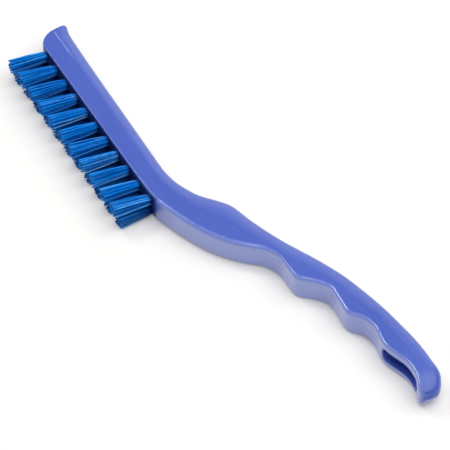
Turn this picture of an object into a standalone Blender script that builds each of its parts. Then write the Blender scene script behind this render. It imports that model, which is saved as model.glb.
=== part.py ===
"""Detailing brush: a moulded handle, two rows of bristle tufts and the flat anchors that hold them.

The brush lies on its flank. +X runs from the tip of the head to the end of the grip, the bristles
point along -Y, and +Z is up through the thickness of the handle. Sizes are in metres. The handle's
own frame has its zero at the tip, on the face that carries the bristles, at the lower flank, and an
empty at the end moves the whole brush so that zero is under the middle of its box.
"""

import math

import bmesh
import bpy
import numpy as np

# Overall sizes of the handle
LENGTH = 0.2272
THICKNESS = 0.010
HEEL_DEPTH = 0.0117
TIP_DEPTH = 0.01275
GRIP_RISE = 0.0394

# Bristle field
TUFT_COUNT = 11
TUFT_PITCH = 0.00866
ROW_SPACING_SHARE = 0.48
TIP_MARGIN = 0.0113
STRAIGHT_END_PITCHES = 1.75
HEAD_STATION_SHARES = (0.0, 0.5, 1.0)

# Tip of the head: a round corner below, a small flick of the back above
TIP_RADIUS = 0.0076
TIP_CORNER_X = 0.0094
TIP_SWEEP = math.radians(60.0)
TIP_FLICK = 0.0009
TIP_FLICK_LENGTH = 0.0091
TIP_EDGE = 0.0009
TIP_BACK_INSET = 0.0003

# Edges of the handle
EDGE_RADIUS = 0.0018
HEAD_EDGE_SHARE = 0.6
HEAD_CREASE_SHARE = 0.44
BACK_DRAFT_SHARE = 0.12

# Domed end of the grip: its corners seen from above, and how far the flanks roll down to it
END_LENGTH = 0.0036
END_BACK_INSET = 0.0042
END_FINGER_INSET = 0.0018
DOME_LENGTH = 0.0095
DOME_DROP = 0.0037

# Hanging slot, from the finger side through to the back
SLOT_LENGTH = 0.0206
SLOT_WIDTH = 0.0046
SLOT_END_MARGIN = 0.0057

# Drilled holes and the pockets that the anchors bite into
HOLE_DIAMETER = 0.0039
HOLE_DEPTH = 0.0070
TUFT_CLEARANCE = 0.0003
ANCHOR_CLEARANCE = 0.0003

# Anchors, cut from flat wire
ANCHOR_LENGTH = 0.0052
ANCHOR_HEIGHT = 0.0016
ANCHOR_THICKNESS = 0.0004
ANCHOR_DEPTH = 0.0048
ANCHOR_BEVEL_SHARE = 0.25

# Bristles. Rings draw in the fold of the packed root: share of its height above the bottom, of the radius
BRISTLE_LENGTH = 0.0150
STRAND_THICKNESS = 0.00054
STRAND_SIDES = 3
STRAND_RING_COUNTS = (1, 6, 11)
STRAND_RING_SHARES = (0.0, 0.40, 0.79)
ROOT_RECESS = 0.0006
ROOT_SEAT = 0.0005
FOLD_HEIGHT = 0.0009
FOLD_RING_SHARES = ((1.0, 1.0), (0.33, 0.81), (0.0, 0.5))
TIP_SPREAD_X = 1.72
TIP_SPREAD_Z = 1.36
ROW_FLARE = 0.0002
TRIM_RAGGEDNESS = 0.0004

# One overrun serves every cut
OVERRUN = 0.002

# Facets
RINGS_PER_SPAN = 4
TIP_STATIONS = 6
EDGE_STEPS = 4
BACK_STEPS = 6
TIP_EDGE_STEPS = 3
END_STEPS = 6
SLOT_STEPS = 10
HOLE_SIDES = 16
PLUG_SIDES = 12
SHARP_ANGLE = math.radians(32.0)

# Stations from the heel of the head to the grip's end. The first pair places the back's outline and the
# second the finger side's: along in shares of the reach behind the last tuft, up in shares of the rise.
# Then come the shares of the edge radius and of the local depth that the rounded back takes.
GRIP_STATION_SHARES = (
    ((-0.093, 0.000), (-0.062, 0.000), 0.60, 0.44),
    ((-0.035, 0.028), (0.018, 0.013), 0.80, 0.45),
    ((0.010, 0.083), (0.087, 0.071), 1.15, 0.46),
    ((0.046, 0.150), (0.152, 0.150), 1.20, 0.47),
    ((0.079, 0.247), (0.211, 0.241), 1.20, 0.48),
    ((0.117, 0.339), (0.263, 0.358), 1.15, 0.52),
    ((0.189, 0.404), (0.302, 0.480), 1.05, 0.60),
    ((0.256, 0.475), (0.337, 0.609), 0.95, 0.72),
    ((0.308, 0.541), (0.375, 0.670), 0.90, 0.74),
    ((0.362, 0.624), (0.428, 0.677), 0.95, 0.60),
    ((0.420, 0.713), (0.474, 0.693), 1.00, 0.50),
    ((0.470, 0.779), (0.508, 0.806), 0.95, 0.55),
    ((0.516, 0.832), (0.542, 0.891), 0.90, 0.62),
    ((0.574, 0.883), (0.595, 0.892), 0.95, 0.54),
    ((0.636, 0.929), (0.656, 0.892), 1.00, 0.46),
    ((0.679, 0.954), (0.692, 0.981), 0.90, 0.52),
    ((0.719, 0.974), (0.726, 1.010), 0.85, 0.58),
    ((0.799, 1.002), (0.803, 0.986), 0.80, 0.47),
    ((0.892, 1.002), (0.898, 1.066), 0.75, 0.52),
    ((0.957, 0.984), (0.957, 1.040), 0.80, 0.50),
)
END_UP_SHARES = (0.958, 1.000)
END_EDGE_SHARE = 0.85
END_CREASE_SHARE = 0.48

# Finishes: base colour, roughness, metallic
FINISHES = {
    "periwinkle_plastic": ((0.085, 0.130, 0.600, 1.0), 0.34, 0.0),
    "azure_filament": ((0.004, 0.105, 0.480, 1.0), 0.38, 0.0),
    "bright_wire": ((0.620, 0.620, 0.600, 1.0), 0.28, 1.0),
}

ROWS = {"upper": 1, "lower": -1}


def clear_scene():
    """Removes what the scene already holds."""
    for item in list(bpy.data.objects):
        bpy.data.objects.remove(item, do_unlink=True)


def finish(name):
    """Returns the named material, made on first use."""
    material = bpy.data.materials.get(name)
    if material is None:
        colour, roughness, metallic = FINISHES[name]
        material = bpy.data.materials.new(name)
        material.use_nodes = True
        shader = material.node_tree.nodes["Principled BSDF"]
        shader.inputs["Base Color"].default_value = colour
        shader.inputs["Roughness"].default_value = roughness
        shader.inputs["Metallic"].default_value = metallic
        material.diffuse_color = colour
    return material


def add_object(name, mesh, material_name):
    """Links a new object that shows the mesh in the named finish."""
    item = bpy.data.objects.new(name, mesh)
    bpy.context.collection.objects.link(item)
    if not mesh.materials:
        mesh.materials.append(finish(material_name))
    return item


def as_cutter(item):
    """Marks an object as a tool that other shapes are cut or joined with."""
    item.hide_render = True
    item.display_type = "WIRE"
    return item


def closed_mesh(name, points, faces):
    """Makes a mesh from points and faces, with its normals turned outwards."""
    mesh = bpy.data.meshes.new(name)
    mesh.from_pydata([tuple(point) for point in points], [], faces)
    shape = bmesh.new()
    shape.from_mesh(mesh)
    bmesh.ops.recalc_face_normals(shape, faces=shape.faces)
    shape.to_mesh(mesh)
    shape.free()
    return mesh


def loft_faces(ring_count, ring_size):
    """Lists the quads between rings of equal size, and the two faces that close the ends."""
    faces = []
    for ring in range(ring_count - 1):
        for side in range(ring_size):
            after = (side + 1) % ring_size
            low = ring * ring_size
            high = low + ring_size
            faces.append((low + side, low + after, high + after, high + side))
    last = (ring_count - 1) * ring_size
    faces.append(tuple(range(ring_size)))
    faces.append(tuple(range(last, last + ring_size)))
    return faces


def smooth_rows(rows, steps):
    """Runs a cubic curve through every row, with steps rows to a span, spaced by chord length."""
    rows = np.asarray(rows, dtype=float)
    chords = np.linalg.norm(np.diff(rows[:, :4], axis=0), axis=1)
    knots = np.concatenate(([0.0], np.cumsum(chords)))
    slopes = np.gradient(rows, knots, axis=0)
    result = []
    for span, chord in enumerate(chords):
        for step in range(steps):
            t = step / steps
            start_weight = 2 * t**3 - 3 * t**2 + 1
            start_slope_weight = t**3 - 2 * t**2 + t
            end_weight = 3 * t**2 - 2 * t**3
            end_slope_weight = t**3 - t**2
            point = start_weight * rows[span] + end_weight * rows[span + 1]
            bend = start_slope_weight * slopes[span] + end_slope_weight * slopes[span + 1]
            result.append(point + chord * bend)
    result.append(rows[-1])
    return result


def tip_stations():
    """Stations round the tip: the finger side turns on an arc while the back flicks up along a cubic."""
    rows = []
    for step in range(TIP_STATIONS, 0, -1):
        share = step / TIP_STATIONS
        angle = share * TIP_SWEEP
        back = (TIP_CORNER_X - share * TIP_FLICK_LENGTH, TIP_DEPTH + TIP_FLICK * share**3)
        finger = (
            TIP_CORNER_X - TIP_RADIUS * math.sin(angle),
            TIP_RADIUS * (1 - math.cos(angle)),
        )
        rows.append((*back, *finger, HEAD_EDGE_SHARE, HEAD_CREASE_SHARE))
    return rows


def head_stations():
    """The straight part of the head, whose back tapers a little from the tip to the heel."""
    heel = last_tuft_x() - STRAIGHT_END_PITCHES * TUFT_PITCH
    rows = []
    for share in HEAD_STATION_SHARES:
        x = TIP_CORNER_X + share * (heel - TIP_CORNER_X)
        depth = TIP_DEPTH + share * (HEEL_DEPTH - TIP_DEPTH)
        rows.append((x, depth, x, 0.0, HEAD_EDGE_SHARE, HEAD_CREASE_SHARE))
    return rows


def last_tuft_x():
    """Distance from the tip to the last tuft."""
    return TIP_MARGIN + (TUFT_COUNT - 1) * TUFT_PITCH


def grip_stations():
    """Stations of the neck and the grip, from their shares of the reach and the rise."""
    start = last_tuft_x()
    reach = LENGTH - start
    rows = []
    for (back_along, back_up), (finger_along, finger_up), edge, crease in GRIP_STATION_SHARES:
        rows.append((
            start + back_along * reach,
            HEEL_DEPTH + back_up * GRIP_RISE,
            start + finger_along * reach,
            finger_up * GRIP_RISE,
            edge,
            crease,
        ))
    end = LENGTH - END_LENGTH
    back_up, finger_up = END_UP_SHARES
    end_back = (end, HEEL_DEPTH + back_up * GRIP_RISE)
    rows.append((*end_back, end, finger_up * GRIP_RISE, END_EDGE_SHARE, END_CREASE_SHARE))
    return rows


def section(back, finger, edge_radius, crease_share, half_height):
    """One closed ring of the handle between a point of its back and a point of its finger side.

    Both flanks are flat. A fillet turns each into the finger side, and beyond the crease the back is
    half an ellipse that loses a small draft on the way to its crest.
    """
    back = np.asarray(back)
    finger = np.asarray(finger)
    depth = np.linalg.norm(back - finger)
    across = (back - finger) / depth
    fillet = [math.pi * (1 - step / EDGE_STEPS / 2) for step in range(EDGE_STEPS + 1)]
    half = [
        (edge_radius * (1 + math.cos(a)), half_height - edge_radius * (1 - math.sin(a)))
        for a in fillet
    ]
    round_length = crease_share * depth
    for step in range(BACK_STEPS):
        angle = math.pi / 2 * step / BACK_STEPS
        share = math.sin(angle)
        height = half_height * math.cos(angle) * (1 - BACK_DRAFT_SHARE * share)
        half.append((depth - round_length * (1 - share), height))
    outline = half + [(depth, 0.0)] + [(along, -height) for along, height in reversed(half)]
    middle = THICKNESS / 2
    return [(*(finger + along * across), middle + height) for along, height in outline]


def half_height_at(x):
    """Half the thickness at a distance from the tip: full, then half an ellipse down to the grip's end."""
    share = max(0.0, 1 - (LENGTH - x) / DOME_LENGTH)
    return THICKNESS / 2 - DOME_DROP * (1 - math.sqrt(max(0.0, 1 - share**2)))


def full_section(station):
    """The section at a station of the main run."""
    half_height = half_height_at((station[0] + station[2]) / 2)
    edge_radius = station[4] * EDGE_RADIUS * half_height * 2 / THICKNESS
    return section(station[0:2], station[2:4], edge_radius, station[5], half_height)


def end_rings(station, outwards, steps, length, insets):
    """Rings that close an end in a quarter turn, from the full section outwards.

    The insets are what the back, the finger side and each flank give up on the way.
    """
    back_inset, finger_inset, flank_inset = insets
    back = np.asarray(station[0:2])
    finger = np.asarray(station[2:4])
    across = (back - finger) / np.linalg.norm(back - finger)
    normal = outwards * np.array((across[1], -across[0]))
    centre = (back[0] + finger[0]) / 2
    rings = []
    for step in range(1, steps + 1):
        angle = math.pi / 2 * step / steps
        gone = 1 - math.cos(angle)
        shift = length * math.sin(angle) * normal
        half_height = half_height_at(centre + outwards * length * math.sin(angle))
        half_height -= flank_inset * gone
        edge_radius = station[4] * EDGE_RADIUS * half_height * 2 / THICKNESS
        ring_back = back - back_inset * gone * across + shift
        ring_finger = finger + finger_inset * gone * across + shift
        rings.append(section(ring_back, ring_finger, edge_radius, station[5], half_height))
    return rings


def handle_mesh():
    """Lofts the handle through its stations and closes both ends."""
    spans = tip_stations() + head_stations()[:-1]
    spans += smooth_rows(head_stations()[-1:] + grip_stations(), RINGS_PER_SPAN)
    full = [full_section(station) for station in spans]
    tip_insets = (TIP_BACK_INSET, TIP_EDGE, TIP_EDGE)
    tip = end_rings(spans[0], -1, TIP_EDGE_STEPS, TIP_EDGE, tip_insets)
    end_insets = (END_BACK_INSET, END_FINGER_INSET, 0.0)
    end = end_rings(spans[-1], 1, END_STEPS, END_LENGTH, end_insets)
    rings = tip[::-1] + full + end
    points = [point for ring in rings for point in ring]
    return closed_mesh("handle", points, loft_faces(len(rings), len(rings[0])))


def prism(name, outline, low, high):
    """A straight solid between two levels along Y, from an outline in X and Z."""
    size = len(outline)
    points = [(x, low, z) for x, z in outline] + [(x, high, z) for x, z in outline]
    return closed_mesh(name, points, loft_faces(2, size))


def slot_outline():
    """A stadium: two half circles joined by straight sides, at the middle of the thickness."""
    radius = SLOT_WIDTH / 2
    middle = THICKNESS / 2
    far = LENGTH - SLOT_END_MARGIN - radius
    near = far - SLOT_LENGTH + SLOT_WIDTH
    turns = [math.pi * (step / SLOT_STEPS - 1 / 2) for step in range(SLOT_STEPS + 1)]
    right = [(far + radius * math.cos(a), middle + radius * math.sin(a)) for a in turns]
    left = [(near - radius * math.cos(a), middle - radius * math.sin(a)) for a in turns]
    return right + left


def polygon(radius, sides, turn=0.0):
    """Corners of a regular polygon about zero."""
    angles = [turn + math.tau * step / sides for step in range(sides)]
    return [(radius * math.cos(a), radius * math.sin(a)) for a in angles]


def tuft_places():
    """Where each tuft's hole meets the face: name, X and Z, tip to heel in each row."""
    for row, side in ROWS.items():
        z = (1 + side * ROW_SPACING_SHARE) * THICKNESS / 2
        for number in range(TUFT_COUNT):
            x = TIP_MARGIN + number * TUFT_PITCH
            yield f"{row}_{number + 1:02d}", x, z, side


def moved(outline, x, z):
    """An outline shifted in its own plane."""
    return [(x + u, z + w) for u, w in outline]


def joined(name, meshes):
    """One mesh that holds copies of several that don't touch."""
    shape = bmesh.new()
    for mesh in meshes:
        shape.from_mesh(mesh)
    result = bpy.data.meshes.new(name)
    shape.to_mesh(result)
    shape.free()
    return result


def hole_cutter():
    """All the blind holes, from outside the face down to their flat bottoms."""
    ring = polygon(HOLE_DIAMETER / 2, HOLE_SIDES, math.pi / HOLE_SIDES)
    holes = [prism("hole", moved(ring, x, z), -OVERRUN, HOLE_DEPTH) for _, x, z, _ in tuft_places()]
    return as_cutter(add_object("hole_cutter", joined("hole_cutter", holes), "bright_wire"))


def box_outline(width, height):
    """A rectangle about zero."""
    return [
        (-width / 2, -height / 2),
        (width / 2, -height / 2),
        (width / 2, height / 2),
        (-width / 2, height / 2),
    ]


def pocket_outline(length):
    """The anchor's own outline, from above, with its clearance all round."""
    return box_outline(length, ANCHOR_THICKNESS + 2 * ANCHOR_CLEARANCE)


def pocket_levels():
    """The levels that bound the space round an anchor."""
    half = ANCHOR_HEIGHT / 2 + ANCHOR_CLEARANCE
    return ANCHOR_DEPTH - half, ANCHOR_DEPTH + half


def pocket_cutter():
    """A pocket across each hole, where the ends of the anchor sit in the plastic."""
    outline = pocket_outline(ANCHOR_LENGTH + 2 * ANCHOR_CLEARANCE)
    low, high = pocket_levels()
    pockets = [prism("pocket", moved(outline, x, z), low, high) for _, x, z, _ in tuft_places()]
    return as_cutter(add_object("pocket_cutter", joined("pocket_cutter", pockets), "bright_wire"))


def slot_cutter():
    """The hanging slot, all the way from below the finger side to beyond the back."""
    top = HEEL_DEPTH + GRIP_RISE + OVERRUN
    mesh = prism("slot_cutter", slot_outline(), -OVERRUN, top)
    return as_cutter(add_object("slot_cutter", mesh, "bright_wire"))


def boolean(item, tool, operation):
    """Cuts or joins an object with another, exactly."""
    modifier = item.modifiers.new(tool.name, "BOOLEAN")
    modifier.operation = operation
    modifier.object = tool
    modifier.solver = "EXACT"


def shade_round(item):
    """Smooth shading with the true edges kept sharp."""
    item.data.shade_smooth()
    item.data.set_sharp_from_angle(angle=SHARP_ANGLE)


def build_handle():
    """The moulded handle with its drilled face and its hanging slot."""
    handle = add_object("handle", handle_mesh(), "periwinkle_plastic")
    shade_round(handle)
    boolean(handle, slot_cutter(), "DIFFERENCE")
    boolean(handle, hole_cutter(), "DIFFERENCE")
    boolean(handle, pocket_cutter(), "DIFFERENCE")
    return handle


def plug_radius():
    """Radius of the packed root, clear of its hole all round."""
    return HOLE_DIAMETER / 2 - TUFT_CLEARANCE


def plug_mesh():
    """The packed root of a tuft: a round bundle whose folded end is drawn in at the bottom."""
    radius = plug_radius()
    bottom = HOLE_DEPTH - TUFT_CLEARANCE
    levels = [(ROOT_RECESS, radius)]
    levels += [(bottom - up * FOLD_HEIGHT, size * radius) for up, size in FOLD_RING_SHARES]
    rings = [[(x, y, z) for x, z in polygon(size, PLUG_SIDES)] for y, size in levels]
    points = [point for ring in rings for point in ring]
    return closed_mesh("plug", points, loft_faces(len(rings), PLUG_SIDES))


def strand_mesh(x, z, number):
    """One strand from inside the packed root to its trimmed tip, fanned out from the middle."""
    root = ROOT_RECESS + ROOT_SEAT
    trim = BRISTLE_LENGTH - TRIM_RAGGEDNESS * math.sin(number * math.e) ** 2
    radius = STRAND_THICKNESS / 2
    corners = polygon(radius, STRAND_SIDES, math.atan2(z, x))
    tip_x = x * TIP_SPREAD_X
    tip_z = z * TIP_SPREAD_Z + ROW_FLARE
    points = [(x + u, root, z + w) for u, w in corners]
    points += [(tip_x + u, -trim, tip_z + w) for u, w in corners]
    return closed_mesh("strand", points, loft_faces(2, STRAND_SIDES))


def strand_places():
    """Where the strands leave the root: one in the middle and rings of them round it."""
    for count, share in zip(STRAND_RING_COUNTS, STRAND_RING_SHARES):
        for x, z in polygon(share * plug_radius(), count, share):
            yield x, z


def strands_tool():
    """All the strands of one tuft, as a tool that is joined to the root."""
    strands = [strand_mesh(x, z, number) for number, (x, z) in enumerate(strand_places())]
    return as_cutter(add_object("strands_tool", joined("strands_tool", strands), "azure_filament"))


def window_tool():
    """The gap through the folded root that the anchor passes through."""
    low, high = pocket_levels()
    mesh = prism("window_tool", pocket_outline(HOLE_DIAMETER + 2 * OVERRUN), low, high)
    return as_cutter(add_object("window_tool", mesh, "azure_filament"))


def tuft_mesh():
    """One tuft: its strands joined to the packed root, with the anchor's window cut through."""
    plug = add_object("tuft", plug_mesh(), "azure_filament")
    boolean(plug, strands_tool(), "UNION")
    boolean(plug, window_tool(), "DIFFERENCE")
    evaluated = plug.evaluated_get(bpy.context.evaluated_depsgraph_get())
    mesh = bpy.data.meshes.new_from_object(evaluated)
    bpy.data.objects.remove(plug)
    for name in ("strands_tool", "window_tool"):
        bpy.data.objects.remove(bpy.data.objects[name])
    return mesh


def build_tufts():
    """Every tuft in its hole; the lower row is the upper one turned over, so both flare outwards."""
    mesh = tuft_mesh()
    tufts = []
    for name, x, z, side in tuft_places():
        tuft = add_object(f"tuft_{name}", mesh, "azure_filament")
        tuft.location = (x, 0.0, z)
        if side < 0:
            tuft.rotation_euler = (0.0, math.pi, 0.0)
        tufts.append(tuft)
    return tufts


def anchor_mesh():
    """A short piece of flat wire, its ends sheared to a blunt point that bites into the plastic."""
    half = ANCHOR_LENGTH / 2
    bevel = ANCHOR_BEVEL_SHARE * ANCHOR_HEIGHT
    low = ANCHOR_DEPTH - ANCHOR_HEIGHT / 2
    high = ANCHOR_DEPTH + ANCHOR_HEIGHT / 2
    outline = [
        (-half, low),
        (half, low),
        (half, high - bevel),
        (half - bevel, high),
        (bevel - half, high),
        (-half, high - bevel),
    ]
    side = ANCHOR_THICKNESS / 2
    points = [(x, y, -side) for x, y in outline] + [(x, y, side) for x, y in outline]
    return closed_mesh("anchor", points, loft_faces(2, len(outline)))


def build_anchors():
    """An anchor across every tuft, in its window and its pocket."""
    mesh = anchor_mesh()
    anchors = []
    for name, x, z, _ in tuft_places():
        anchor = add_object(f"anchor_{name}", mesh, "bright_wire")
        anchor.location = (x, 0.0, z)
        anchors.append(anchor)
    return anchors


def bounds(items):
    """Lowest and highest corners of a list of objects, before any boolean, which none of them outgrows."""
    bpy.context.view_layer.update()
    corners = [item.matrix_world @ vertex.co for item in items for vertex in item.data.vertices]
    points = np.array([tuple(corner) for corner in corners])
    return points.min(axis=0), points.max(axis=0)


def centre_on_frame(items):
    """Hangs the brush on an empty so that zero lies under the middle of its box."""
    low, high = bounds(items)
    middle = (low + high) / 2
    frame = bpy.data.objects.new("brush_frame", None)
    bpy.context.collection.objects.link(frame)
    frame.location = (-middle[0], -middle[1], -low[2])
    for item in bpy.data.objects:
        if item is not frame:
            item.parent = frame


def main():
    """Builds the brush."""
    clear_scene()
    handle = build_handle()
    tufts = build_tufts()
    anchors = build_anchors()
    centre_on_frame([handle] + tufts + anchors)


main()
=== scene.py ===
"""Detailing brush on a white table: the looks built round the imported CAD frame.

The handle is lofted again on a fine grid through the CAD's own stations, then its slot and its tuft holes
are cut with rounded rims. Each tuft is a bundle of filaments folded over its wire anchor. All places are in
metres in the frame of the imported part. Shapes are worked out in the brush's own frame, which has its zero
at the tip, on the face that carries the bristles, and are shifted into the part's frame at the end.
"""

from __future__ import annotations

import enum
import functools
import logging
import math
from dataclasses import dataclass, field

import bpy
import numpy as np
from bpy.types import ID, Material, Mesh, Node, NodeSocket as Socket, NodeTree, Object
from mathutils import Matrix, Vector


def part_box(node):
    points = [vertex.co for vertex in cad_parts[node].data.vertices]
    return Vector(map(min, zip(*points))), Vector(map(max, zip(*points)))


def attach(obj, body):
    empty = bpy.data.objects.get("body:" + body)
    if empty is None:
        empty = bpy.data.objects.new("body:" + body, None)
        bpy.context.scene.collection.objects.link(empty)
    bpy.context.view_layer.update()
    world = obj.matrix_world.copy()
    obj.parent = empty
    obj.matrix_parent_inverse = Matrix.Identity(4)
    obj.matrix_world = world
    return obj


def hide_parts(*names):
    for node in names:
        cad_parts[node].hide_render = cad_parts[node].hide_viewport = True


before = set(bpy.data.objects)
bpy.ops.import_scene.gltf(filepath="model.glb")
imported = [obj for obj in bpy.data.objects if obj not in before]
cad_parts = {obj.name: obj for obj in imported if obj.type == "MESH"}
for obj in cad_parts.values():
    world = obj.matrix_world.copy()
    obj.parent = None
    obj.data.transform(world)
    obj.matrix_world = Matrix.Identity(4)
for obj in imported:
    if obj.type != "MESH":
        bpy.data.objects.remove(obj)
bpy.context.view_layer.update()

BODY = "root"
LOG = logging.getLogger("detailing_brush")

Array = np.ndarray
Pair = tuple[float, float]
Vector3 = tuple[float, float, float]


class Slot(enum.Enum):
    """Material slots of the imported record."""

    HANDLE = "periwinkle_plastic"
    TUFT = "azure_filament"
    ANCHOR = "bright_wire"


class Row(enum.Enum):
    """The two rows of tufts, by the side of the handle's middle that each is on."""

    UPPER = 1
    LOWER = -1


# Meshes


def tube_mesh(name: str, grids: Array) -> Mesh:
    """Makes one mesh of capped tubes.

    Each quad joins points k and k + 1 (round the ring) of ring r to the same two of ring r + 1, and one
    polygon lies over each end of a tube.

    Args:
        name: Name of the mesh.
        grids: Points as (tube, ring, side, xyz). Rings run so that the faces point outwards.

    Returns:
        The mesh.
    """
    point = np.arange(grids[..., 0].size).reshape(grids.shape[:3])
    after = np.roll(point, -1, axis=2)
    quads = np.stack([point[:, :-1], after[:, :-1], after[:, 1:], point[:, 1:]], axis=-1).reshape(-1, 4)
    faces = [*quads.tolist(), *point[:, 0, ::-1].tolist(), *point[:, -1].tolist()]
    mesh = bpy.data.meshes.new(name)
    mesh.from_pydata(grids.reshape(-1, 3).tolist(), [], faces)
    mesh.validate()
    return mesh


def columns(*values: Array | float) -> Array:
    """Sets numbers and arrays side by side along a new last axis."""
    return np.stack(np.broadcast_arrays(*values), axis=-1)


def paint(mesh: Mesh, shape: tuple[int, ...], **layers: Array | float) -> None:
    """Stores numbers of each point as named attributes that materials can read.

    Args:
        mesh: Mesh to paint.
        shape: Shape of the grid of its points.
        layers: For each attribute a number, or an array that spreads over the grid.
    """
    for name, values in layers.items():
        layer = mesh.attributes.new(name, "FLOAT", "POINT")
        layer.data.foreach_set("value", np.broadcast_to(values, shape).reshape(-1).astype(np.float32))


def link(name: str, data: ID) -> Object:
    """Puts a mesh, light or camera in the scene as a named object at the origin."""
    item = bpy.data.objects.new(name, data)
    bpy.context.scene.collection.objects.link(item)
    return item


def cut(item: Object, tool: Object) -> None:
    """Takes a tool's volume out of an object for good, then removes the tool.

    Args:
        item: Object to cut.
        tool: Closed object whose inside is taken away.
    """
    modifier = item.modifiers.new("cut", "BOOLEAN")
    modifier.operation = "DIFFERENCE"
    modifier.solver = "EXACT"
    modifier.object = tool
    graph = bpy.context.evaluated_depsgraph_get()
    result = bpy.data.meshes.new_from_object(item.evaluated_get(graph), depsgraph=graph)
    item.modifiers.clear()
    item.data = result
    bpy.data.objects.remove(tool)


# Node work


@dataclass
class Bench:
    """Adds nodes to one tree and joins them up."""

    tree: NodeTree

    def node(self, kind: str, inputs: dict | None = None, **settings: object) -> Node:
        """Adds a node.

        Args:
            kind: Node type without its ShaderNode prefix.
            inputs: Value or socket for each input, by name or by number.
            settings: Properties of the node.

        Returns:
            The new node.
        """
        made = self.tree.nodes.new(f"ShaderNode{kind}")
        for key, value in settings.items():
            setattr(made, key, value)
        self.feed(made, inputs or {})
        return made

    def feed(self, made: Node, inputs: dict) -> None:
        """Sets or links the inputs of a node that is there already.

        Args:
            made: The node.
            inputs: Value or socket for each input, a colour's value being its linear red, green and blue.
        """
        for key, value in inputs.items():
            socket = made.inputs[key]
            if isinstance(value, Socket):
                self.tree.links.new(value, socket)
            else:
                socket.default_value = (*value, 1.0) if socket.type == "RGBA" else value

    def maths(self, operation: str, *values: float | Socket) -> Socket:
        """Adds a Math node and returns its result."""
        return self.node("Math", dict(enumerate(values)), operation=operation).outputs[0]

    def ramp(self, value: Socket, low: float, high: float, start: float = 0.0, stop: float = 1.0) -> Socket:
        """Maps one range of numbers to another, held at both ends."""
        inputs = {0: value, 1: low, 2: high, 3: start, 4: stop}
        return self.node("MapRange", inputs).outputs[0]

    def blend(self, share: float | Socket, first: Vector3 | Socket, second: Vector3 | Socket) -> Socket:
        """Mixes two colours."""
        return self.node("Mix", {0: share, 6: first, 7: second}, data_type="RGBA").outputs[2]

    def noise(self, place: Socket, scale: float | Socket, detail: float) -> Socket:
        """A noise pattern between 0 and 1."""
        return self.node("TexNoise", {"Vector": place, "Scale": scale, "Detail": detail}).outputs[0]

    def place(self) -> Socket:
        """Where a point is on the piece, in metres."""
        return self.node("TexCoord").outputs["Object"]

    def painted(self, name: str) -> Socket:
        """Reads a painted attribute."""
        return self.node("Attribute", attribute_name=name).outputs["Fac"]


def new_group(
    name: str, inputs: tuple[str, ...], outputs: tuple[str, ...],
) -> tuple[Bench, dict[str, Socket], Node]:
    """Starts a shader node group.

    Args:
        name: Name of the group.
        inputs: Names of its inputs, which are numbers, or a vector where the name is Vector.
        outputs: Names of its outputs, the same way.

    Returns:
        A bench on the group, its input sockets by name, and its output node.
    """
    tree = bpy.data.node_groups.new(name, "ShaderNodeTree")
    for way, labels in (("INPUT", inputs), ("OUTPUT", outputs)):
        for label in labels:
            kind = "NodeSocketVector" if label == "Vector" else "NodeSocketFloat"
            tree.interface.new_socket(name=label, in_out=way, socket_type=kind)
    start = tree.nodes.new("NodeGroupInput")
    end = tree.nodes.new("NodeGroupOutput")
    return Bench(tree), {socket.name: socket for socket in start.outputs}, end


@functools.cache
def surface_grain() -> NodeTree:
    """Group: the fine skin of a surface, and its slow waves.

    Height is a fine noise plus a tenfold coarser one, each times its own depth. Tone is the coarse noise
    alone, for colour and roughness that wander along the piece.

    Returns:
        The group, built once.
    """
    inputs = ("Vector", "Scale", "Fine Depth", "Wave Depth")
    bench, given, end = new_group("surface_grain", inputs, ("Height", "Tone"))
    fine = bench.noise(given["Vector"], given["Scale"], 3.0)
    coarse = bench.noise(given["Vector"], bench.maths("MULTIPLY", given["Scale"], 0.1), 0.0)
    fine_part = bench.maths("MULTIPLY", fine, given["Fine Depth"])
    height = bench.maths("MULTIPLY_ADD", coarse, given["Wave Depth"], fine_part)
    bench.feed(end, {"Height": height, "Tone": coarse})
    return bench.tree


@functools.cache
def rubbed_edges() -> NodeTree:
    """Group: where handling has rubbed a surface; on the handle the mask also places painted highlights.

    The painted edge value is thinned by a noise: the mask is edge value minus (1 - noise) times patchiness,
    doubled and held between 0 and 1.

    Returns:
        The group, built once.
    """
    bench, given, end = new_group("rubbed_edges", ("Vector", "Edge", "Scale", "Patchiness"), ("Mask",))
    patches = bench.noise(given["Vector"], given["Scale"], 4.0)
    gone = bench.maths("MULTIPLY", bench.maths("SUBTRACT", 1.0, patches), given["Patchiness"])
    left = bench.maths("SUBTRACT", given["Edge"], gone)
    bench.feed(end, {"Mask": bench.ramp(left, 0.0, 0.5)})
    return bench.tree


# Finishes


class Finish:
    """A material whose shader takes the inputs that each kind of finish works out for itself."""

    name = "plain"

    def inputs(self, bench: Bench) -> dict[str, object]:
        """The shader's inputs, none unless a finish has its own."""
        return {}

    def material(self) -> Material:
        """Builds the material.

        Returns:
            The material.
        """
        material = bpy.data.materials.new(self.name)
        material.use_nodes = True
        bench = Bench(material.node_tree)
        bench.feed(material.node_tree.nodes["Principled BSDF"], self.inputs(bench))
        return material


@dataclass(frozen=True)
class Skin:
    """Fine relief of a surface: scale of its noise, depths of its fine part and its slow waves in metres,
    and how much of it the light shows.
    """

    scale: float
    fine_depth: float
    wave_depth: float
    strength: float

    def lay(self, bench: Bench, place: Socket) -> tuple[Socket, Socket]:
        """Adds the relief to a material.

        Args:
            bench: Bench on the material's tree.
            place: Coordinates that the relief follows.

        Returns:
            The normal, and the tone that wanders with the slow waves.
        """
        depths = {"Fine Depth": self.fine_depth, "Wave Depth": self.wave_depth}
        inputs = {"Vector": place, "Scale": self.scale, **depths}
        grain = bench.node("Group", inputs, node_tree=surface_grain())
        height = {"Height": grain.outputs["Height"], "Distance": 1.0, "Strength": self.strength}
        return bench.node("Bump", height).outputs[0], grain.outputs["Tone"]


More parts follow.
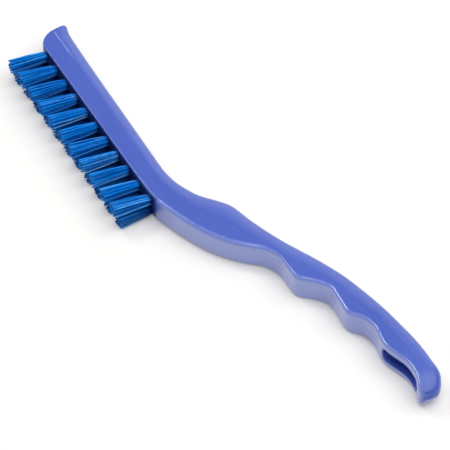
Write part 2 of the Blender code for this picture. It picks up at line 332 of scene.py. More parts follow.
@dataclass(frozen=True)
class Rub:
    """Rubbed patches along a painted edge: scale of the noise that breaks them up, how far it does so, and
    their share of the rubbed colour, which on the handle is partly a painted highlight.
    """

    scale: float
    patchiness: float
    tint: float

    def lay(self, bench: Bench, place: Socket, edge: Socket) -> Socket:
        """Adds the patches to a material and returns their mask."""
        inputs = {"Vector": place, "Edge": edge, "Scale": self.scale, "Patchiness": self.patchiness}
        return bench.node("Group", inputs, node_tree=rubbed_edges()).outputs["Mask"]


@dataclass(frozen=True)
class MouldedPlastic(Finish):
    """Satin moulded plastic with faint streaks of flow, a polished finger side and glossier rubbed edges.

    Colours are linear, the deep one for denser streaks and the painted shade colour for the head among
    the tufts. The rubbed colour is paler: on the edges partly from rubbing and partly a painted highlight,
    on the finger side a painted reflection. Rubbed gloss is the share of the rubbed roughness in a full rub.
    """

    name = "satin_periwinkle"
    colour: Vector3 = (0.060, 0.110, 0.455)
    deep_colour: Vector3 = (0.026, 0.064, 0.365)
    rub_and_highlight_colour: Vector3 = (0.195, 0.265, 0.720)
    painted_shade_colour: Vector3 = (0.002, 0.012, 0.085)
    roughness: float = 0.31
    roughness_spread: float = 0.02
    wander_range: Pair = (0.2, 0.8)
    rubbed_roughness: float = 0.12
    rubbed_gloss: float = 0.6
    polish_roughness: float = 0.30
    polish_range: Pair = (0.3, 0.9)
    streaks_across: float = 24.0
    streaks_along: float = 30.0
    cloud_scale: float = 60.0
    streak_share: float = 0.6
    skin: Skin = Skin(2600.0, 0.000003, 0.000024, 0.6)
    rub: Rub = Rub(420.0, 0.9, 0.55)

    def body(self, bench: Bench, place: Socket) -> Socket:
        """Mixes the fresh plastic from clouds and from streaks along the painted lanes of the handle.

        Args:
            bench: Bench on the material's tree.
            place: Where a point is on the piece.

        Returns:
            The colour.
        """
        run = bench.node("SeparateXYZ", {"Vector": place}).outputs["X"]
        drawn = bench.node("CombineXYZ", {
            "X": bench.maths("MULTIPLY", bench.painted("lane"), self.streaks_across),
            "Y": bench.maths("MULTIPLY", run, self.streaks_along),
        }).outputs[0]
        clouds = bench.maths("MULTIPLY", bench.noise(place, self.cloud_scale, 0.0), 1 - self.streak_share)
        drift = bench.maths("MULTIPLY_ADD", bench.noise(drawn, 1.0, 1.0), self.streak_share, clouds)
        return bench.blend(drift, self.deep_colour, self.colour)

    def inputs(self, bench: Bench) -> dict[str, object]:
        """Pales rubbed parts, partly as painted highlights and reflection, and paints shade among tufts.

        Args:
            bench: Bench on the material's tree.

        Returns:
            The shader's inputs.
        """
        place = bench.place()
        normal, wander = self.skin.lay(bench, place)
        rub = self.rub.lay(bench, place, bench.painted("edge"))
        # Painted shade among the tufts, read from the shade attribute.
        shade = bench.painted("shade")
        clear_wall = bench.maths("SUBTRACT", bench.painted("wall"), shade)
        # This mask sets the coat and, through the paler colour, paints a reflection on the finger side.
        polish_and_reflection = bench.ramp(clear_wall, *self.polish_range)
        # Rubbed and polished parts turn paler: partly from rubbing, partly painted highlights and
        # reflection.
        wear_and_highlight = bench.maths("MULTIPLY", bench.maths("MAXIMUM", rub, polish_and_reflection), self.rub.tint)
        worn_and_highlit = bench.blend(wear_and_highlight, self.body(bench, place), self.rub_and_highlight_colour)
        spread = self.roughness_spread
        fresh = bench.ramp(wander, *self.wander_range, self.roughness - spread, self.roughness + spread)
        gloss = bench.maths("MULTIPLY", rub, self.rubbed_gloss)
        return {
            "Base Color": bench.blend(shade, worn_and_highlit, self.painted_shade_colour),
            "Roughness": bench.node("Mix", {0: gloss, 2: fresh, 3: self.rubbed_roughness}).outputs[0],
            "Normal": normal, "IOR": 1.53,
            "Coat Weight": polish_and_reflection, "Coat Roughness": self.polish_roughness, "Coat IOR": 2.2,
        }


@dataclass(frozen=True)
class DrawnFilament(Finish):
    """Extruded bristle filament: each strand has its own tone, and its cut tip is paler and rougher.

    Colours are linear. Over the dark range of tones a strand goes from dark to middle, and over the light
    range to light.
    """

    name = "azure_bristle"
    dark: Vector3 = (0.0002, 0.085, 0.410)
    middle: Vector3 = (0.0003, 0.192, 0.665)
    light: Vector3 = (0.0900, 0.310, 0.660)
    root_shade_colour: Vector3 = (0.0002, 0.013, 0.095)
    cut_colour: Vector3 = (0.010, 0.235, 0.700)
    roughness: float = 0.28
    cut_roughness: float = 0.60
    wander_share: float = 0.25
    dark_range: Pair = (0.1, 0.9)
    light_range: Pair = (0.95, 1.1)
    skin: Skin = Skin(5200.0, 0.000004, 0.000010, 0.5)
    rub: Rub = Rub(2400.0, 0.5, 0.6)

    def inputs(self, bench: Bench) -> dict[str, object]:
        """Colours a strand by its tone, pales its cut tip and paints shade at its root.

        Args:
            bench: Bench on the material's tree.

        Returns:
            The shader's inputs.
        """
        place = bench.place()
        normal, wander = self.skin.lay(bench, place)
        rub = self.rub.lay(bench, place, bench.painted("tip"))
        drift = bench.maths("MULTIPLY_ADD", wander, self.wander_share, bench.painted("tone"))
        deep = bench.blend(bench.ramp(drift, *self.dark_range), self.dark, self.middle)
        strand = bench.blend(bench.ramp(drift, *self.light_range), deep, self.light)
        trimmed = bench.blend(bench.maths("MULTIPLY", rub, self.rub.tint), strand, self.cut_colour)
        return {
            # Painted shade: darker towards the root, and over most of the lower row's length.
            "Base Color": bench.blend(bench.painted("shade"), trimmed, self.root_shade_colour),
            "Roughness": bench.ramp(rub, 0.0, 1.0, self.roughness, self.cut_roughness),
            "Normal": normal, "IOR": 1.54, "Specular IOR Level": 0.08,
        }


@dataclass(frozen=True)
class FlatWire(Finish):
    """Drawn steel wire: fine lines along its length, with duller and rougher spots of tarnish."""

    name = "drawn_wire"
    colour: Vector3 = (0.60, 0.60, 0.58)
    tarnish: Vector3 = (0.36, 0.33, 0.28)
    roughness: float = 0.30
    tarnish_roughness: float = 0.50
    spot_scale: float = 900.0
    spot_range: Pair = (0.5, 0.8)
    spot_strength: float = 0.6
    dull_range: Pair = (0.3, 0.8)
    stretch: Vector3 = (0.05, 1.0, 1.0)
    skin: Skin = Skin(9000.0, 0.000008, 0.000004, 0.5)

    def inputs(self, bench: Bench) -> dict[str, object]:
        """Spots the steel and draws its lines out along the wire.

        Args:
            bench: Bench on the material's tree.

        Returns:
            The shader's inputs.
        """
        place = bench.place()
        along = bench.node("Mapping", {"Vector": place, "Scale": self.stretch}).outputs[0]
        spots = bench.noise(place, self.spot_scale, 3.0)
        stained = bench.ramp(spots, *self.spot_range, 0.0, self.spot_strength)
        return {
            "Base Color": bench.blend(stained, self.colour, self.tarnish),
            "Roughness": bench.ramp(spots, *self.dull_range, self.roughness, self.tarnish_roughness),
            "Metallic": 1.0, "Normal": self.skin.lay(bench, along)[0],
        }


@dataclass(frozen=True)
class WhiteTable(Finish):
    """The plain white board under the brush, which glows a little, as a lit table does."""

    name = "white_table"
    colour: Vector3 = (0.640, 0.630, 0.612)
    roughness: float = 0.85
    glow_colour: Vector3 = (1.0, 1.0, 1.0)
    glow: float = 0.17

    def inputs(self, bench: Bench) -> dict[str, object]:
        """The same values all over the board."""
        surface = {"Base Color": self.colour, "Roughness": self.roughness}
        return {**surface, "Emission Color": self.glow_colour, "Emission Strength": self.glow}


# Handle


GRIP_STATION_SHARES = (
    (-0.093, 0.000, -0.062, 0.000, 0.60, 0.44),
    (-0.035, 0.028, 0.018, 0.013, 0.80, 0.45),
    (0.010, 0.083, 0.087, 0.071, 1.15, 0.46),
    (0.046, 0.150, 0.152, 0.150, 1.20, 0.47),
    (0.079, 0.247, 0.211, 0.241, 1.20, 0.48),
    (0.117, 0.339, 0.263, 0.358, 1.15, 0.52),
    (0.189, 0.404, 0.302, 0.480, 1.05, 0.60),
    (0.256, 0.475, 0.337, 0.609, 0.95, 0.72),
    (0.308, 0.541, 0.375, 0.670, 0.90, 0.74),
    (0.362, 0.624, 0.428, 0.677, 0.95, 0.60),
    (0.420, 0.713, 0.474, 0.693, 1.00, 0.50),
    (0.470, 0.779, 0.508, 0.806, 0.95, 0.55),
    (0.516, 0.832, 0.542, 0.891, 0.90, 0.62),
    (0.574, 0.883, 0.595, 0.892, 0.95, 0.54),
    (0.636, 0.929, 0.656, 0.892, 1.00, 0.46),
    (0.679, 0.954, 0.692, 0.981, 0.90, 0.52),
    (0.719, 0.974, 0.726, 1.010, 0.85, 0.58),
    (0.799, 1.002, 0.803, 0.986, 0.80, 0.47),
    (0.892, 1.002, 0.898, 1.066, 0.75, 0.52),
    (0.957, 0.984, 0.957, 1.040, 0.80, 0.50),
)


def mirrored(half: Array, sign: int = 1) -> Array:
    """Joins half rings, as (ring, point), to their mirror image, with both end points kept single."""
    return np.hstack([half[:, :-1], sign * half[:, :0:-1]])


@dataclass
class BrushHandle:
    """The one-piece moulded handle, with its sizes in metres as the CAD has them.

    A station is a row of six numbers: x and y of the back, x and y of the finger side, the fillet's share of
    the edge radius, and the share of the depth that the rounded back takes.
    """

    length: float = 0.2272
    thickness: float = 0.010
    heel_depth: float = 0.0117
    tip_depth: float = 0.01275
    grip_rise: float = 0.0394
    tuft_count: int = 11
    tuft_pitch: float = 0.00866
    row_spacing: float = 0.0048
    tip_margin: float = 0.0113
    straight_end_pitches: float = 1.75
    tip_radius: float = 0.0076
    tip_corner_x: float = 0.0094
    tip_sweep: float = math.radians(60.0)
    tip_flick: float = 0.0009
    tip_flick_length: float = 0.0091
    tip_edge: float = 0.0009
    tip_insets: Vector3 = (0.0003, 0.0024, 0.0009)
    tip_slopes: Pair = (0.0, 3.0)
    edge_radius: float = 0.0018
    head_edge_share: float = 0.45
    head_crease_share: float = 0.44
    back_draft_share: float = 0.05
    back_power: float = 2.2
    draft_end: Pair = (0.196, 0.212)
    tip_squareness: float = 1.8
    tip_square_length: float = 0.007
    end_squareness: float = 0.5
    end_length: float = 0.0036
    end_insets: Vector3 = (0.0042, 0.0018, 0.0)
    end_up_shares: Pair = (0.958, 1.020)
    end_edge_share: float = 0.85
    end_crease_share: float = 0.48
    dome_length: float = 0.0095
    dome_drop: float = 0.0037
    slot_length: float = 0.0206
    slot_width: float = 0.0046
    slot_end_margin: float = 0.0057
    slot_rim: float = 0.0005
    hole_diameter: float = 0.0039
    hole_depth: float = 0.0070
    hole_rim: float = 0.00006
    hole_floor_share: float = 0.55
    hole_floor_bevel: float = 0.0005
    hole_sides: int = 48
    slot_end_points: int = 33
    rim_sweep: float = math.radians(78.0)
    rim_points: int = 9
    mouth_sweep: float = math.radians(80.0)
    mouth_points: int = 6
    overrun: float = 0.002
    crown_share: float = 0.08
    bead_height: float = 0.00012
    bead_width: float = 0.00022
    bead_fades: tuple[Pair, ...] = (
        (0.0016, 0.0), (0.0026, 1.1), (0.0175, 1.0), (0.021, 0.20), (0.028, 0.10), (0.120, 0.15),
        (0.160, 0.4), (0.170, 0.6), (0.208, 0.6), (0.216, 0.0),
    )
    steps: int = 12
    inverse_steps: int = 8
    ring_points: tuple[int, ...] = (6, 11, 9, 25, 22)
    crease_reach: float = 0.001
    back_start: float = 0.0012
    # Edge values round the fillet and along the crease: rubbing that also paints highlight lines.
    fillet_rub_and_highlight: float = 1.1
    crease_rub_and_highlight: float = 0.8
    crease_rub_and_highlight_width: float = 0.0003
    ridge_rub: float = 0.3
    ridge_rub_width: float = 0.0004
    # Painted shade on the finger wall among the tufts and in their holes: how fast it grows and how dark.
    painted_shade_slope: float = 2.4
    painted_shade_limit: float = 0.88
    hole_painted_shade: float = 0.9
    sharp_angle: float = math.radians(35.0)
    origin: Array = field(init=False)

    def __post_init__(self) -> None:
        """Finds where the own frame's zero lies in the part's frame."""
        low, high = (np.array(corner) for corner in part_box("handle"))
        self.origin = np.array((high[0] - self.length, low[1], low[2]))

    @property
    def last_tuft_x(self) -> float:
        """Distance from the tip to the last tuft."""
        return self.tip_margin + (self.tuft_count - 1) * self.tuft_pitch

    def tip_rows(self) -> Array:
        """Stations round the tip: finger side on an arc, back along a cubic flick, crease straight.

        Returns:
            The stations, from the tip on.
        """
        share = np.arange(2 * self.steps, 0, -1) / (2 * self.steps)
        angle = share * self.tip_sweep
        back = self.tip_depth + self.tip_flick * share**3
        finger = self.tip_radius * (1 - np.cos(angle))
        crease = (1 - self.head_crease_share) * self.tip_depth
        return columns(
            self.tip_corner_x - share * self.tip_flick_length, back,
            self.tip_corner_x - self.tip_radius * np.sin(angle), finger,
            self.head_edge_share, (back - crease) / (back - finger),
        )

    def head_rows(self) -> Array:
        """Stations of the straight head, whose back tapers a little towards the heel.

        Returns:
            The stations, from the tip on.
        """
        heel = self.last_tuft_x - self.straight_end_pitches * self.tuft_pitch
        share = np.linspace(0.0, 1.0, 6 * self.steps)
        x = self.tip_corner_x + share * (heel - self.tip_corner_x)
        depth = self.tip_depth + share * (self.heel_depth - self.tip_depth)
        return columns(x, depth, x, 0.0, self.head_edge_share, self.head_crease_share)

    def grip_rows(self) -> Array:
        """Stations of the neck and grip, placed by their shares of the reach and the rise.

        Returns:
            The stations, up to where the end begins.
        """
        reach = self.length - self.last_tuft_x
        rows = np.array(GRIP_STATION_SHARES)
        rows[:, (0, 2)] = self.last_tuft_x + rows[:, (0, 2)] * reach
        rows[:, 1] = self.heel_depth + rows[:, 1] * self.grip_rise
        rows[:, 3] = rows[:, 3] * self.grip_rise
        end = self.length - self.end_length
        back_up, finger_up = self.end_up_shares
        last = (
            end, self.heel_depth + back_up * self.grip_rise, end, finger_up * self.grip_rise,
            self.end_edge_share, self.end_crease_share,
        )
        return np.vstack([rows, last])

    def smooth(self, rows: Array) -> Array:
        """Cubic curve through the rows.

        Between two rows each value is the cubic that meets both values and both slopes, where a row's slope
        is the weighted difference of its neighbours over the chord length of the two outlines.

        Args:
            rows: Stations to run through.

        Returns:
            The same stations with others between them.
        """
        chords = np.linalg.norm(np.diff(rows[:, :4], axis=0), axis=1)
        knots = np.concatenate(([0.0], np.cumsum(chords)))
        slopes = np.gradient(rows, knots, axis=0)
        t = (np.arange(self.steps) / self.steps)[None, :, None]
        start, end = rows[:-1, None], rows[1:, None]
        bend = (t**3 - 2 * t**2 + t) * slopes[:-1, None] + (t**3 - t**2) * slopes[1:, None]
        fine = (2 * t**3 - 3 * t**2 + 1) * start + (3 * t**2 - 2 * t**3) * end + chords[:, None, None] * bend
        return np.vstack([fine.reshape(-1, rows.shape[1]), rows[-1:]])

    def all_rows(self) -> Array:
        """Every station of the main run, tip to grip."""
        head = self.head_rows()
        return np.vstack([self.tip_rows(), head[:-1], self.smooth(np.vstack([head[-1:], self.grip_rows()]))])

    def half_height(self, x: Array) -> Array:
        """Half the thickness at a distance from the tip: full, then half an ellipse down to the end."""
        share = np.clip(1 - (self.length - x) / self.dome_length, 0.0, 1.0)
        return self.thickness / 2 - self.dome_drop * (1 - np.sqrt(np.clip(1 - share**2, 0.0, 1.0)))

    def draft(self, x: Array) -> Array:
        """Draft of the back at a distance from the tip: even, then none over the end's dome."""
        return self.back_draft_share * np.interp(x, self.draft_end, (1.0, 0.0))

    def power(self, x: Array) -> Array:
        """Power of the back's rounding at a distance from the tip.

        It rises by an exponential towards the tip, which squares the corner there, and a little over the
        end's dome, where the flank rolls into the back.
        """
        tip = self.tip_squareness * np.exp(-np.clip(x, 0.0, None) / self.tip_square_length)
        return self.back_power + tip + np.interp(x, self.draft_end, (0.0, self.end_squareness))

    def back_height(self, share: Array, x: Array) -> Array:
        """Height of the rounded back over the half height.

        It is (1 - share^p)^(1/p), an ellipse where p is 2, less a draft that grows with the share.
        """
        power = self.power(x)
        return np.clip(1 - share**power, 0.0, 1.0) ** (1 / power) * (1 - self.draft(x) * share)

    def sections(
        self, back: Array, finger: Array, radius: Array, crease: Array,
        half_height: Array,
    ) -> tuple[Array, Array]:
        """Closed rings of the handle.

        Half a ring runs up the finger wall, round its fillet (a quarter circle), over the flat flank to the
        crease and down the back. A bead of Gaussian form stands on the crease. The other half mirrors it,
        with the bead pressed flat at the table. The edge value is a sine round the fillet, a Gaussian
        across the crease and a step on the ridge of the back.

        Args:
            back: Back outline point of each ring.
            finger: Finger side point of each ring.
            radius: Fillet radius of each ring.
            crease: Share of the depth that the rounded back takes.
            half_height: Half the thickness at each ring.

        Returns:
            Ring points as (ring, side, xyz), and each point's edge and wall values and its lane, which is
            its share of the way from the finger side to the back.
        """
        wall_points, fillet_points, flank_points, crease_points, back_points = self.ring_points
        depth = np.linalg.norm(back - finger, axis=1, keepdims=True)
        middle = ((back + finger) / 2)[:, :1]
        across = (back - finger) / depth
        radius, crease, height = radius[:, None], crease[:, None], half_height[:, None]
        turn = np.pi * (1 - np.linspace(0, 0.5, fillet_points))[None, :]
        wall_up = np.linspace(0, 1, wall_points)[None, :-1] * (height - radius)
        round_length = crease * depth
        flat_end = depth - round_length
        spread = np.linspace(0, 1, flank_points)[None, 1:-1]
        flat = radius + spread * (flat_end - self.crease_reach - radius)
        near = np.linspace(-self.crease_reach, self.crease_reach, crease_points)[None, :] + flat_end
        share = np.sin(np.linspace(0, np.pi / 2, back_points))[None, :]
        first = self.back_start / round_length
        rest = (first + (1 - first) * share) * round_length + flat_end
        along = np.hstack([np.zeros_like(wall_up), radius * (1 + np.cos(turn)), flat, near, rest])
        fillet_up = height - radius * (1 - np.sin(turn))
        over = along[:, wall_up.shape[1] + turn.shape[1]:]
        past = over - flat_end
        back_up = height * self.back_height(np.clip(past / round_length, 0.0, 1.0), middle)
        fade = np.interp(middle, *np.array(self.bead_fades).T)
        back_up = back_up + fade * self.bead_height * np.exp(-((past / self.bead_width) ** 2))
        up = np.hstack([wall_up, fillet_up, back_up])
        # The fillet and crease edge values pale those lines: partly rubbing, partly painted highlights.
        fillet_edge = self.fillet_rub_and_highlight * np.sin(2 * (np.pi - turn)) + 0 * radius
        crease_edge = self.crease_rub_and_highlight * np.exp(-((past / self.crease_rub_and_highlight_width) ** 2)) * fade
        ridge_edge = self.ridge_rub * (over > depth - self.ridge_rub_width)
        edge = np.hstack([np.zeros_like(wall_up), fillet_edge, crease_edge + ridge_edge])
        fillet_wall = -np.cos(turn) + 0 * radius
        wall = np.hstack([np.ones_like(wall_up), fillet_wall, np.zeros_like(over)])
        values = mirrored(columns(edge, wall, along / depth))
        ups = mirrored(up, -1)
        ups[:, up.shape[1] - 1] = 0.0
        plan = finger[:, None, :] + mirrored(along)[:, :, None] * across[:, None, :]
        points = np.concatenate([plan, np.maximum(self.thickness / 2 + ups[:, :, None], 0.0)], axis=2)
        return points, values

    def end_sections(
        self, row: Array, outwards: int, length: float, insets: Vector3, slopes: Pair,
    ) -> tuple[Array, Array]:
        """Rings that close an end in a quarter turn, then draw in over its face to a small low crown.

        Args:
            row: The station that the end grows from.
            outwards: +1 at the grip's end, -1 at the tip.
            length: How far the end stands out.
            insets: What the back, the finger side and each flank give up.
            slopes: How fast the back and the finger side already draw in where the end begins.

        Returns:
            Ring points and their edge, wall and lane values, from the station outwards.
        """
        back_inset, finger_inset, flank_inset = insets
        back_slope, finger_slope = (slope * length for slope in slopes)
        angle = np.linspace(0, np.pi / 2, 2 * self.steps + 1)[1:, None]
        gone = 1 - np.cos(angle)
        back_gone = back_slope * np.sin(angle) + (back_inset - back_slope) * gone
        finger_gone = finger_slope * np.sin(angle) + (finger_inset - finger_slope) * gone
        back, finger = row[None, 0:2], row[None, 2:4]
        across = (back - finger) / np.linalg.norm(back - finger)
        normal = outwards * columns(across[:, 1], -across[:, 0])
        shift = length * np.sin(angle) * normal
        centre = (row[0] + row[2]) / 2 + outwards * length * np.sin(angle[:, 0])
        height = self.half_height(centre) - flank_inset * gone[:, 0]
        radius = row[4] * self.edge_radius * height * 2 / self.thickness
        crease = np.full_like(height, row[5])
        points, values = self.sections(
            back - back_gone * across + shift, finger + finger_gone * across + shift, radius, crease, height,
        )
        low = np.clip((self.thickness / 2 - points[..., 2]) / height[:, None], 0.0, 1.0)
        # The end's lower part takes the wall value: a painted reflection pales its lower rim.
        values[..., 1] = np.maximum(values[..., 1] * np.cos(angle), low * np.sin(angle))
        last = points[-1]
        middle = last.mean(axis=0)
        shrink = np.linspace(1, 0, self.steps // 2 + 2)[1:-1, None, None]
        crown = self.crown_share * length * (1 - shrink**2) * np.append(normal[0], 0.0)
        face = middle + shrink * (last - middle) + crown
        return np.vstack([points, face]), np.vstack([values, values[-1] * shrink**2])

    def shell(self) -> Object:
        """Lofts the whole handle before any cut, and paints its edge, wall, lane and shade values.

        The shade is painted shade on the finger wall among the tufts, which falls by its slope times what
        the wall value lacks of 1. Wall and edge values fade out where it is.

        Returns:
            The handle without its slot and holes.
        """
        rows = self.all_rows()
        height = self.half_height((rows[:, 0] + rows[:, 2]) / 2)
        radius = rows[:, 4] * self.edge_radius * height * 2 / self.thickness
        points, values = self.sections(rows[:, 0:2], rows[:, 2:4], radius, rows[:, 5], height)
        run = rows[-1] - rows[-3]
        slopes = (float(-run[1] / run[0]), float(run[3] / run[2]))
        tip = self.end_sections(rows[0], -1, self.tip_edge, self.tip_insets, self.tip_slopes)
        end = self.end_sections(rows[-1], 1, self.end_length, self.end_insets, slopes)
        grid = np.concatenate([tip[0][::-1], points, end[0]])
        values = np.concatenate([tip[1][::-1], values, end[1]])
        margin = self.hole_diameter / 2
        first, last = self.tip_margin - margin, self.last_tuft_x + margin
        zone = np.interp(grid[..., 0], (first - margin, first, last, last + margin), (0.0, 1.0, 1.0, 0.0))
        edge, wall, lane = np.moveaxis(values, -1, 0)
        # Painted shade: full on the wall among the tufts, fading out round the fillet.
        painted_shade = np.clip(self.painted_shade_slope * wall - (self.painted_shade_slope - 1), 0.0, self.painted_shade_limit)
        mesh = tube_mesh("handle_moulding", grid[None] + self.origin)
        paint(
            mesh, grid.shape[:2], edge=edge * (1 - zone * (wall > 0)), wall=wall * (1 - zone), lane=lane,
            shade=zone * painted_shade,
        )
        return link("handle_moulding", mesh)

    def slot_tool(self) -> Object:
        """The hanging slot as a stadium carried through the grip, flared to a rounded rim at both faces.

        At each point of the stadium the depth runs from the finger wall to the back's surface above that
        point. Near a face the outline grows by rim times (1 - cos a) while the depth follows rim times
        (1 - sin a), which is nearly a quarter circle.

        Returns:
            The tool.
        """
        rows = self.all_rows()
        half = self.slot_width / 2
        far = self.length - self.slot_end_margin - half
        near = far - self.slot_length + self.slot_width
        turn = np.linspace(-np.pi / 2, np.pi / 2, self.slot_end_points)
        arc = columns(np.cos(turn), np.sin(turn))
        normal = np.concatenate([arc, -arc])
        middle = np.concatenate([np.full_like(turn, far), np.full_like(turn, near)])
        swing = np.linspace(0, self.rim_sweep, self.rim_points)
        rim = list(zip(self.slot_rim * (1 - np.cos(swing)), self.slot_rim * (1 - np.sin(swing))))
        outside = (rim[-1][0], -self.overrun)
        levels = [(-1, level) for level in (outside, *rim[::-1])] + [(1, level) for level in (*rim, outside)]
        rings = []
        for side, (gain, depth) in levels:
            x = middle + (half + gain) * normal[:, 0]
            z = (half + gain) * normal[:, 1]
            low = np.interp(x, rows[:, 2], rows[:, 3])
            y = low + depth if side < 0 else self.back_surface(rows, x, z) - depth
            rings.append(columns(x, y, self.thickness / 2 + z))
        grid = np.stack(rings)[:, ::-1] + self.origin
        mesh = tube_mesh("slot_tool", grid[None])
        # Full edge and wall values pale the slot's inside: painted highlights and reflection.
        paint(mesh, grid.shape[:2], edge=1.0, wall=1.0, shade=0.0, lane=0.0)
        return link("slot_tool", mesh)

    def back_surface(self, rows: Array, x: Array, z: Array) -> Array:
        """How far up the rounded back lies at a place along the grip and a height off its middle.

        The share of the round at that height comes from the ellipse turned inside out, with the draft put
        back in by repeating the step.

        Args:
            rows: Stations of the main run.
            x: Distances from the tip.
            z: Heights over the handle's middle.

        Returns:
            The back's y at each of those places.
        """
        rise = np.abs(z) / self.half_height(x)
        power = self.power(x)
        at = (1 - rise**power) ** (1 / power)
        for _ in range(self.inverse_steps):
            at = np.clip(1 - (rise / (1 - self.draft(x) * at)) ** power, 0.0, 1.0) ** (1 / power)
        depth = np.linalg.norm(rows[:, 0:2] - rows[:, 2:4], axis=1) * rows[:, 5]
        return np.interp(x, rows[:, 0], rows[:, 1]) - np.interp(x, rows[:, 0], depth) * (1 - at)

    def hole_tool(self) -> Object:
        """All the blind tuft holes, each a turned profile with a small rounded mouth.

        The mouth's curve is that of the slot's rim.

        Returns:
            The tool, a closed tube for each hole.
        """
        swing = np.linspace(0, self.mouth_sweep, self.mouth_points)[::-1]
        radius = self.hole_diameter / 2
        mouth = radius + self.hole_rim * (1 - np.cos(swing))
        depth = self.hole_rim * (1 - np.sin(swing))
        radii = np.concatenate([mouth[:1], mouth, [radius, radius * self.hole_floor_share]])
        floor = [self.hole_depth - self.hole_floor_bevel, self.hole_depth]
        depths = np.concatenate([[-self.overrun], depth, floor])
        turn = np.linspace(0, 2 * np.pi, self.hole_sides, endpoint=False)
        ring = columns(np.cos(turn), 0.0, np.sin(turn))
        one = radii[:, None, None] * ring[None] + depths[:, None, None] * np.array((0.0, 1.0, 0.0))
        grids = one[None, :, ::-1] + self.hole_places()[:, None, None, :] + self.origin
        mesh = tube_mesh("hole_tool", grids)
        # Painted shade darkens the inside of every hole.
        paint(mesh, grids.shape[:3], edge=0.0, wall=0.0, shade=self.hole_painted_shade)
        return link("hole_tool", mesh)

    def hole_places(self) -> Array:
        """Centre of each hole's mouth in the own frame, row by row."""
        x = self.tip_margin + np.arange(self.tuft_count) * self.tuft_pitch
        middle = self.thickness / 2
        return np.concatenate([columns(x, 0.0, middle + row.value * self.row_spacing / 2) for row in Row])

    def build(self) -> None:
        """Makes the finished handle and puts it in the CAD handle's place."""
        handle = self.shell()
        cut(handle, self.slot_tool())
        cut(handle, self.hole_tool())
        handle.data.shade_smooth()
        handle.data.set_sharp_from_angle(angle=self.sharp_angle)
        handle.data.materials.clear()
        handle.data.materials.append(MouldedPlastic().material())
        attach(handle, BODY)
        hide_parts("handle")
        LOG.info("handle_moulding: %d faces", len(handle.data.polygons))


# Tufts


@dataclass(frozen=True)
class RowStance:
    """How the bristles of one row stand.

    Args:
        length: From the mouth of the hole to the trim.
        lean: How far the tips lie towards the grip from their root.
        rise: How far the tips lie above their root.
        spread: How much wider the bundle is at the trim than at the root.
        tip_shade: Share of the painted shade at the root that reaches the tips.
        shade_reach: Distance from the root over which that painted shade fades.
    """

    length: float
    lean: float
    rise: float
    spread: float
    tip_shade: float
    shade_reach: float


# Painted shade stays near the root of the upper row and runs along most of the lower row.
ROW_STANCES = {
    Row.UPPER: RowStance(0.0150, 0.0003, 0.00105, 1.55, 0.0, 0.0005),
    Row.LOWER: RowStance(0.0130, 0.0003, 0.0000, 1.80, 0.06, 0.0080),
}


